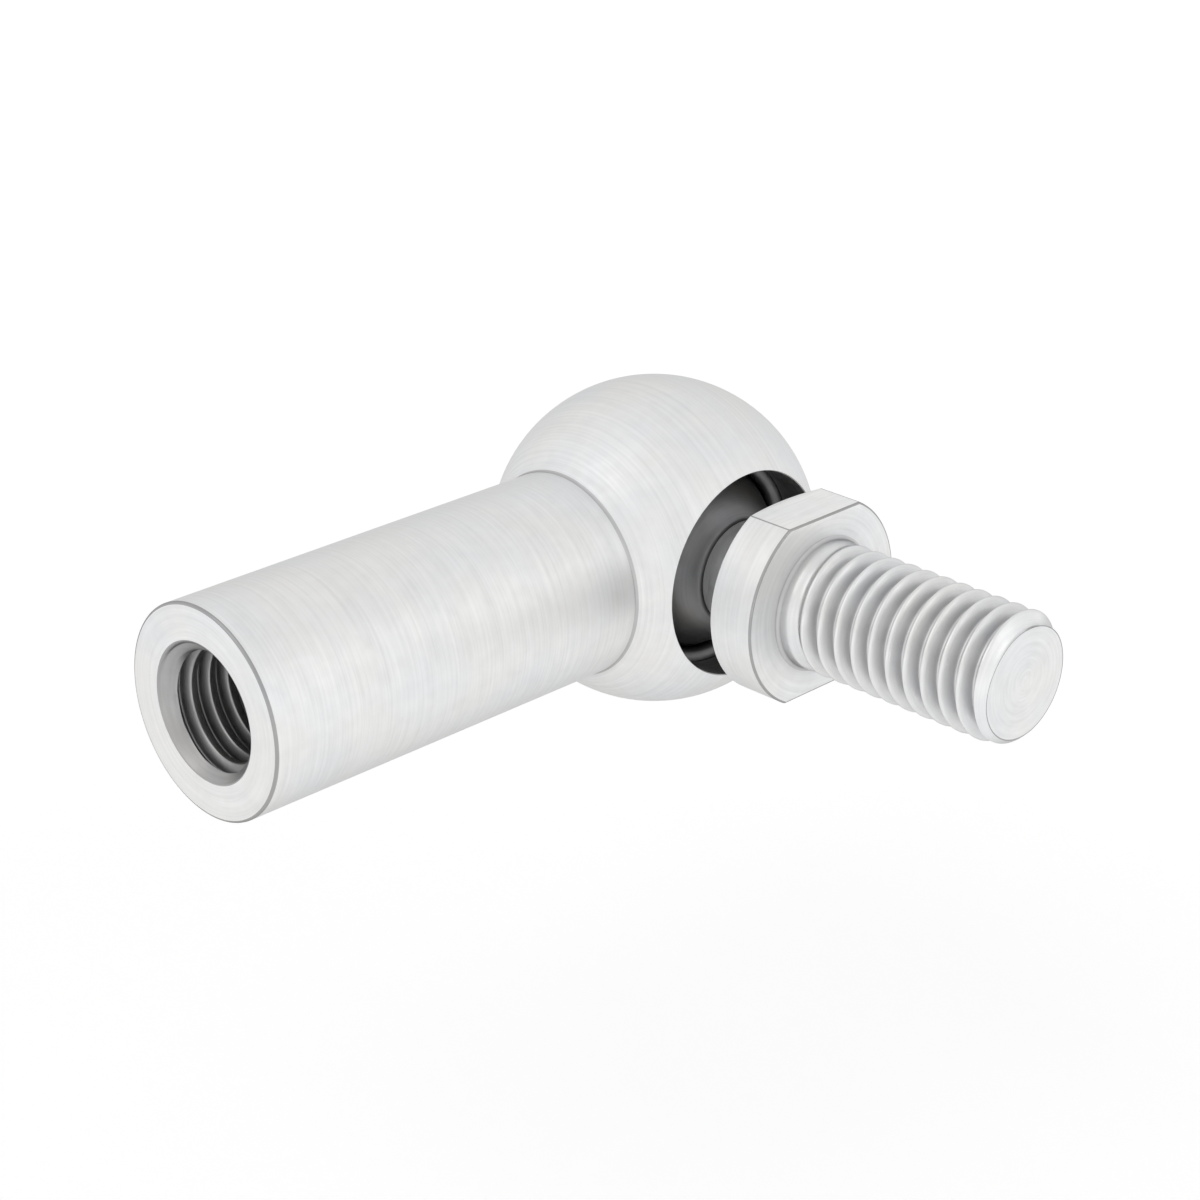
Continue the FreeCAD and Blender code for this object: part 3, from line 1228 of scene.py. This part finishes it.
@dataclass
class BallStud:
    """The stud: ball, neck, collar with two spanner flats and threaded end, turned in one piece.

    Attributes:
        name: name of the piece.
        ball_radius: radius of the ball.
        back_flat_radius: radius of the flat on its back.
        neck_radius: radius of the neck.
        neck_fillet: radius of the fillet between ball and neck.
        collar_radius: radius of the collar.
        flat_distance: distance of each spanner flat from the axis.
        collar_thickness: length of the collar's full round.
        collar_back_angle: how far the collar's back slopes, in degrees from square.
        edge_round: radius of the broken edge round the collar's face.
        corner_round: how softly flat and round meet.
        corner_reach: how far from a flat's corner the columns beside it lie.
        corner_share: the most that this may be of the way from the flat's middle to the corner.
        stud_radius: radius of the threaded end.
        stud_root_fillet: radius of the fillet at its root.
        thread_pitch: distance from one turn of the thread to the next.
        thread_core_radius: radius at the bottom of the thread.
        thread_runout: length over which it fades out towards the collar.
        tip_chamfer: size of the chamfer at the tip.
        tip_rim_share: share of the tip's radius at which its rubbed rim, coloured dark with
            painted shade, ends.
        corner_softness: how softly thread and chamfer meet.
        flat_columns: columns of points on half a flat.
        corner_columns: columns of points on a flat's corner.
        round_columns: columns of points on half a round between the flats.
        slope_start: corner of the flats, in degrees, at which their cut in the back starts.
        plain_rows: rows of points on the back before that cut.
        cut_rows: rows of points that follow it.
        side_rows: rows of points on the collar's side.
        face_rows: rows of points on the collar's face.
        tip_rows: rows of points on the tip's rubbed rim with its painted shade, and inside it.
        least_cosine: keeps a flat's outline from running out of sight at right angles to it.
    """

    name: str = "stud"
    ball_radius: float = 4.0 * MM
    back_flat_radius: float = 1.5 * MM
    neck_radius: float = 2.0 * MM
    neck_fillet: float = 0.25 * MM
    collar_radius: float = 4.0 * MM
    flat_distance: float = 3.5 * MM
    collar_thickness: float = 1.95 * MM
    collar_back_angle: float = 20.0
    edge_round: float = 0.08 * MM
    corner_round: float = 0.012 * MM
    corner_reach: float = 0.06 * MM
    corner_share: float = 0.25
    stud_radius: float = mount("stud_thread")["dims"]["r_mm"] * MM
    stud_root_fillet: float = 0.15 * MM
    thread_pitch: float = 0.8 * MM
    thread_core_radius: float = 2.01 * MM
    thread_runout: float = 1.5 * MM
    tip_chamfer: float = 0.3 * MM
    tip_rim_share: float = 0.982
    corner_softness: float = 0.05 * MM
    flat_columns: int = 12
    corner_columns: int = 3
    round_columns: int = 26
    slope_start: float = 4.0
    plain_rows: int = 5
    cut_rows: int = 9
    side_rows: int = 3
    face_rows: int = 6
    tip_rows: tuple[int, int] = (2, 8)
    least_cosine: float = 0.01

    @property
    def ball_centre(self) -> Vector:
        """Centre of the ball, which the joints turn about."""
        return Vector(joint("stud_swing")["pos_m"])

    @property
    def collar_face(self) -> float:
        """Place of the collar's face along the stud, counted from the ball's centre."""
        return mount("collar_face")["pos_m"][1] - self.ball_centre.y

    @property
    def collar_back(self) -> float:
        """Place where the collar's full round starts."""
        return self.collar_face - self.collar_thickness

    @property
    def tip(self) -> float:
        """Place of the stud's tip."""
        return high("ball_stud").y - self.ball_centre.y

    @property
    def collar_corner(self) -> float:
        """Angle from the middle of a flat to its corner, in degrees."""
        return math.degrees(math.acos(self.flat_distance / self.collar_radius))

    @property
    def corner_turn(self) -> float:
        """Angle that the columns beside a corner reach to either side of it, in degrees."""
        return math.degrees(self.corner_reach / self.collar_radius)

    def slope_place(self, radius: float) -> float:
        """Work out where the collar's sloping back has a radius."""
        slope = math.tan(math.radians(self.collar_back_angle))
        return self.collar_back - (self.collar_radius - radius) * slope

    def columns(self, corner: float) -> np.ndarray:
        """Spread the columns of points so that some lie on each corner of the flats.

        Args:
            corner: angle from the middle of a flat to its corner, in degrees.

        Returns:
            The angles of the columns over one full turn.
        """
        reach = min(self.corner_turn, corner * self.corner_share)
        near = corner + np.linspace(-reach / 2, reach / 2, self.corner_columns)
        flat = np.linspace(0.0, corner - reach, self.flat_columns)
        round_side = np.linspace(corner + reach, QUARTER_TURN, self.round_columns)
        quarter = np.concatenate([flat, near, round_side])
        half = np.concatenate([quarter, HALF_TURN - quarter[-2::-1]])
        return np.concatenate([half, half[1:] + HALF_TURN])

    def side_finishes(self, angles: np.ndarray) -> list[SteelFinish]:
        """Choose a finish for each column of the collar's side: flat, corner or round.

        Args:
            angles: angles of the columns of points.

        Returns:
            A finish for each column of faces between them.
        """
        middles = (angles[1:] + angles[:-1]) / 2
        from_flat = np.abs((middles + QUARTER_TURN) % HALF_TURN - QUARTER_TURN)
        from_corner = from_flat - self.collar_corner
        sides = [MILLED if gap < 0.0 else PLATED for gap in from_corner]
        near = np.abs(from_corner) < self.corner_turn / 2
        return [SHADED_EDGE if close else side for close, side in zip(near, sides)]

    def outline(self, radius: float, angles: np.ndarray) -> np.ndarray:
        """Cut a round of the collar off at its two flats.

        Args:
            radius: radius of the round.
            angles: angles of the points, in degrees from the middle of a flat.

        Returns:
            Distance of each point from the axis.
        """
        cosines = np.maximum(np.abs(np.cos(np.radians(angles))), self.least_cosine)
        return -meet(-radius, -self.flat_distance / cosines, self.corner_round)

    def build_slope(self, part: TurnedMesh) -> None:
        """Add the collar's sloping back, whose rows follow the edge that the flats cut in it.

        Args:
            part: the mesh of the stud.
        """
        cut_corners = np.linspace(self.slope_start, self.collar_corner, self.cut_rows)
        cut = self.flat_distance / np.cos(np.radians(cut_corners))
        plain = np.linspace(self.neck_radius, self.flat_distance, self.plain_rows, endpoint=False)
        plain_corners = np.linspace(self.collar_corner, self.slope_start, self.plain_rows)
        radii = np.concatenate([plain, cut])
        corners = np.concatenate([plain_corners, cut_corners])
        columns = np.array([self.columns(corner) for corner in corners])
        along = np.array([self.slope_place(radius) for radius in radii])
        rows = [self.outline(radius, angles) for radius, angles in zip(radii, columns)]
        part.strip(along, np.array(rows), PLATED, columns)

    def build_collar(self, part: TurnedMesh) -> None:
        """Add the collar's side with its two flats, its broken edge and its face.

        Args:
            part: the mesh of the stud.
        """
        rim = self.outline(self.collar_radius, part.angles)
        edge = arc((0.0, 0.0), self.edge_round, QUARTER_TURN, 0.0, STEPS.edge)
        side_end = self.collar_face - self.edge_round
        along = np.linspace(self.collar_back, side_end, self.side_rows)
        part.strip(along, np.tile(rim, (self.side_rows, 1)), self.side_finishes(part.angles))
        scales = 1.0 - (self.edge_round - edge[:, 1]) / self.collar_radius
        part.strip(side_end + edge[:, 0], np.outer(scales, rim), SHADED_EDGE)
        inner = self.stud_radius + self.stud_root_fillet
        shares = np.linspace(1.0, 0.0, self.face_rows)
        face = inner + np.outer(shares, rim * scales[-1] - inner)
        part.strip(np.full(self.face_rows, self.collar_face), face, PLATED)

    def trim_stud(self, along: np.ndarray, radius: np.ndarray) -> np.ndarray:
        """Fade the thread out towards the collar and chamfer the tip.

        Args:
            along: places along the stud's axis.
            radius: radius of the thread at each of them.

        Returns:
            The final radius at each of them.
        """
        start = self.collar_face + self.stud_root_fillet
        share = fade((along - start) / self.thread_runout)
        thread = self.stud_radius - (self.stud_radius - radius) * share
        left = self.tip - along
        chamfer = self.stud_radius - self.tip_chamfer + left
        return -meet(-thread, -chamfer, self.corner_softness * (left < self.thread_pitch))

    def build_thread(self, part: TurnedMesh) -> None:
        """Add the root's fillet, the thread and the tip's face.

        Args:
            part: the mesh of the stud.
        """
        foot = self.collar_face + self.stud_root_fillet
        centre = (foot, self.stud_radius + self.stud_root_fillet)
        foot_angle = HALF_TURN + QUARTER_TURN
        root = arc(centre, self.stud_root_fillet, HALF_TURN, foot_angle, STEPS.fillet)
        part.turned(SHADED_ROOT, root)
        form = ThreadForm(self.thread_pitch, self.stud_radius, self.thread_core_radius)
        part.threaded(foot, self.tip, form, self.trim_stud, THREADED)
        lead = form.pitch * part.angles / FULL_TURN
        rim = self.trim_stud(np.full_like(lead, self.tip), form.radius(self.tip - lead))
        ends = ((1.0, self.tip_rim_share), (self.tip_rim_share, 0.0))
        for finish, (start, end), count in zip((SHADED_EDGE, PLATED), ends, self.tip_rows):
            shares = np.linspace(start, end, count)
            part.strip(np.full(count, self.tip), np.outer(shares, rim), finish)

    def build(self) -> bpy.types.Object:
        """Turn the stud about its own axis and tie it to the frame.

        Returns:
            The stud.
        """
        place = Place(self.ball_centre, TurningAxis.STUD)
        part = TurnedMesh(place, self.columns(self.collar_corner))
        back_angle = math.degrees(math.asin(self.back_flat_radius / self.ball_radius))
        back = -self.ball_radius * math.cos(math.radians(back_angle))
        root = Fillet(self.ball_radius, self.neck_radius, self.neck_fillet)
        ball_start = HALF_TURN - back_angle
        neck_start = (root.centre[0], self.neck_radius)
        neck_end = (self.slope_place(self.neck_radius), self.neck_radius)
        part.turned(
            BURNISHED_AND_SHADED,
            run((back, 0.0), (back, self.back_flat_radius), STEPS.bore),
            arc((0.0, 0.0), self.ball_radius, ball_start, root.ball_angle, STEPS.ball),
            root.path(STEPS.fillet),
        )
        part.turned(NECK, run(neck_start, neck_end, STEPS.face))
        self.build_slope(part)
        self.build_collar(part)
        self.build_thread(part)
        piece = part.build(self.name)
        dress(piece, "stud", "ball_stud")
        return piece


@dataclass
class SnapRing:
    """The ring: round spring wire bent to an open ring, its gap on the shank's side.

    Attributes:
        name: name of the piece.
        gap_angle: angle of the gap, in degrees.
        sides: how many columns of faces go round the wire.
        steps: rows of points along its bend.
        end_round: radius of the broken edges of its two cut ends.
        end_rows: rows of points on each of those edges.
    """

    name: str = "ring"
    gap_angle: float = 40.0
    sides: int = 32
    steps: int = 150
    end_round: float = 0.06 * MM
    end_rows: int = 4

    @property
    def wire_radius(self) -> float:
        """Half the thickness of the wire."""
        return (high("snap_ring").y - low("snap_ring").y) / 2

    @property
    def bend_radius(self) -> float:
        """Radius that the middle of the wire is bent to."""
        return high("snap_ring").z - self.wire_radius

    @property
    def centre(self) -> Vector:
        """Centre of the ring, on the ball's axis."""
        across = joint("stud_turn")["pos_m"]
        return Vector((across[0], (low("snap_ring").y + high("snap_ring").y) / 2, across[2]))

    def build(self) -> bpy.types.Object:
        """Bend the wire, round its two cut ends slightly and tie it to the frame.

        Returns:
            The ring.
        """
        half = (FULL_TURN - self.gap_angle) / 2
        middle = QUARTER_TURN + HALF_TURN
        rise = np.radians(np.linspace(0.0, QUARTER_TURN, self.end_rows))
        nose = 1.0 - self.end_round * (1.0 - np.sin(rise)) / self.wire_radius
        nose_turn = np.degrees(self.end_round * (1.0 - np.cos(rise)) / self.bend_radius)
        first = middle - half + np.concatenate([[0.0], nose_turn])
        last = 2 * middle - first[::-1]
        between = np.linspace(first[-1], last[0], self.steps)[1:-1]
        bends = np.concatenate([first, between, last])
        end = np.concatenate([[0.0], nose])
        swell = np.concatenate([end, np.ones(len(between)), end[::-1]])
        section = np.radians(np.linspace(0.0, FULL_TURN, self.sides + 1))
        wire = TurnedMesh(Place(self.centre, TurningAxis.STUD), section)
        along = np.outer(swell, self.wire_radius * np.sin(section))
        radius = self.bend_radius + np.outer(swell, self.wire_radius * np.cos(section))
        wire.strip(along, radius, WIRE, np.tile(bends[:, None], (1, len(section))))
        piece = wire.build(self.name)
        dress(piece, "ring", "snap_ring")
        return piece


def looking_back(azimuth: float, elevation: float) -> Vector:
    """Work out the direction from the joint to a viewer.

    Args:
        azimuth: the viewer's angle round the joint, in degrees.
        elevation: the viewer's angle above the horizon, in degrees.

    Returns:
        The direction, one unit long.
    """
    turn, rise = math.radians(azimuth), math.radians(elevation)
    return Vector(
        (math.sin(turn) * math.cos(rise), -math.cos(turn) * math.cos(rise), math.sin(rise))
    )


@dataclass(frozen=True)
class Lamp:
    """A soft square lamp that looks at the joint.

    Attributes:
        name: what the lamp is called.
        azimuth: angle round the joint, in degrees, as the camera's.
        elevation: angle above the horizon, in degrees.
        distance: how far off it stands.
        size: length of its sides.
        power: its power in watts.
    """

    name: str
    azimuth: float
    elevation: float
    distance: float
    size: float
    power: float

    def place(self, target: Vector) -> None:
        """Hang the lamp and aim it.

        Args:
            target: the point that it looks at.
        """
        data = bpy.data.lights.new(self.name, "AREA")
        data.size = self.size
        data.energy = self.power
        lamp = bpy.data.objects.new(self.name, data)
        back = looking_back(self.azimuth, self.elevation)
        lamp.location = target + back * self.distance
        lamp.rotation_mode = "QUATERNION"
        lamp.rotation_quaternion = (-back).to_track_quat("-Z", "Y")
        bpy.context.scene.collection.objects.link(lamp)


@dataclass
class Studio:
    """Pale floor, white surroundings and soft lamps.

    Attributes:
        floor_drop: how far the floor lies below the joint.
        floor_size: length of its sides.
        floor_colour: its colour.
        lift: how much brighter it shows than it is lit, near the joint and far off.
        lift_span: distances from the frame's origin that count as near and far.
        surround_light: how strongly the surroundings light the joint.
        zenith_share: how bright they are overhead, as a share of eye level.
        lamps: the lamps.
    """

    floor_drop: float = 14.0 * MM
    floor_size: float = 6.0
    floor_colour: Colour = grey(0.86)
    lift: Span = (0.262, 0.6)
    lift_span: Span = (0.04, 0.6)
    surround_light: float = 0.9
    zenith_share: float = 0.86
    lamps: tuple[Lamp, ...] = (
        Lamp("key", azimuth=75.0, elevation=50.0, distance=1.2, size=0.9, power=0.88),
        Lamp("fill", azimuth=200.0, elevation=28.0, distance=1.4, size=0.8, power=0.7),
    )

    def build_world(self) -> None:
        """Make the surroundings white at eye level, and softer overhead and as a light."""
        world = bpy.data.worlds.new("studio")
        world.use_nodes = True
        sheet = NodeSheet(world.node_tree)
        background = sheet.tree.nodes["Background"]
        strength = sheet.spread(sheet.seen(), (0.0, 1.0), (self.surround_light, 1.0))
        direction = sheet.node("ShaderNodeTexCoord").outputs["Generated"]
        apart = sheet.node("ShaderNodeSeparateXYZ")
        sheet.join(direction, apart.inputs[0])
        fall = sheet.spread(apart.outputs["Z"], (0.0, 1.0), (1.0, self.zenith_share))
        sheet.join(strength, background.inputs["Strength"])
        sheet.join(fall, background.inputs["Color"])
        bpy.context.scene.world = world

    def build_floor(self) -> None:
        """Lay the floor below the joint; it keeps the joint's soft shadow."""
        level = cad_box[0].z - self.floor_drop
        half = self.floor_size / 2
        square = ((-half, -half), (half, -half), (half, half), (-half, half))
        mesh = bpy.data.meshes.new("floor")
        mesh.from_pydata([(x, y, level) for x, y in square], [], [(0, 1, 2, 3)])
        floor = new_piece("floor", mesh)
        shader = Shader("floor_white")
        length = shader.node("ShaderNodeVectorMath", operation="LENGTH")
        shader.join(shader.node("ShaderNodeTexCoord").outputs["Object"], length.inputs[0])
        lift = shader.spread(length.outputs["Value"], self.lift_span, self.lift)
        shader.settle(
            Base_Color=opaque(self.floor_colour),
            Roughness=1.0,
            Specular_IOR_Level=0.0,
            Emission_Color=opaque(grey(1.0)),
            Emission_Strength=shader.calculate("MULTIPLY", shader.seen(), lift),
        )
        mesh.materials.append(shader.material)

    def build(self, target: Vector) -> None:
        """Set up surroundings, floor and lamps.

        Args:
            target: the point that the lamps look at.
        """
        self.build_world()
        self.build_floor()
        for lamp in self.lamps:
            lamp.place(target)
        bpy.context.scene.view_settings.view_transform = "Standard"


@dataclass
class PhotographCamera:
    """The camera, at the photograph's viewing angle.

    Attributes:
        azimuth: angle round the joint, in degrees.
        elevation: angle above the horizon, in degrees.
        distance: how far off it stands.
        aside: how far it stands to the right of the line to its target.
        above: how far it stands above that line.
        lens: its focal length, in millimetres.
        sensor: width of its sensor, in millimetres.
        shift_across: how far its frame is shifted across.
        shift_up: how far its frame is shifted up.
        clip_start: how near it still sees.
    """

    azimuth: float = 135.32
    elevation: float = 24.78
    distance: float = 111.31 * MM
    aside: float = -1.86 * MM
    above: float = -3.71 * MM
    lens: float = 85.3
    sensor: float = 36.0
    shift_across: float = -0.0052
    shift_up: float = 0.027
    clip_start: float = 1.0 * MM

    def build(self, target: Vector) -> None:
        """Set the camera up.

        Args:
            target: the point that it stands before.
        """
        data = bpy.data.cameras.new("camera")
        data.sensor_width = self.sensor
        data.lens = self.lens
        data.shift_x = self.shift_across
        data.shift_y = self.shift_up
        data.clip_start = self.clip_start
        back = looking_back(self.azimuth, self.elevation)
        turn = (-back).to_track_quat("-Z", "Y")
        aside = turn @ Vector((self.aside, self.above, 0.0))
        camera = bpy.data.objects.new("camera", data)
        camera.rotation_mode = "QUATERNION"
        camera.rotation_quaternion = turn
        camera.location = target + back * self.distance + aside
        bpy.context.scene.collection.objects.link(camera)
        bpy.context.scene.camera = camera


def main() -> None:
    """Build the joint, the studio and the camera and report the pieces."""
    logging.basicConfig(level=logging.INFO, format="%(message)s")
    socket = BallSocket()
    for maker in (socket, SnapRing(), BallStud()):
        piece = maker.build()
        faces = len(piece.data.polygons)
        LOG.info("%s: %d faces, %d open edges", piece.name, faces, open_edges(piece.data))
    Studio().build(socket.head_centre)
    PhotographCamera().build(socket.head_centre)


if __name__ == "__main__":
    main()
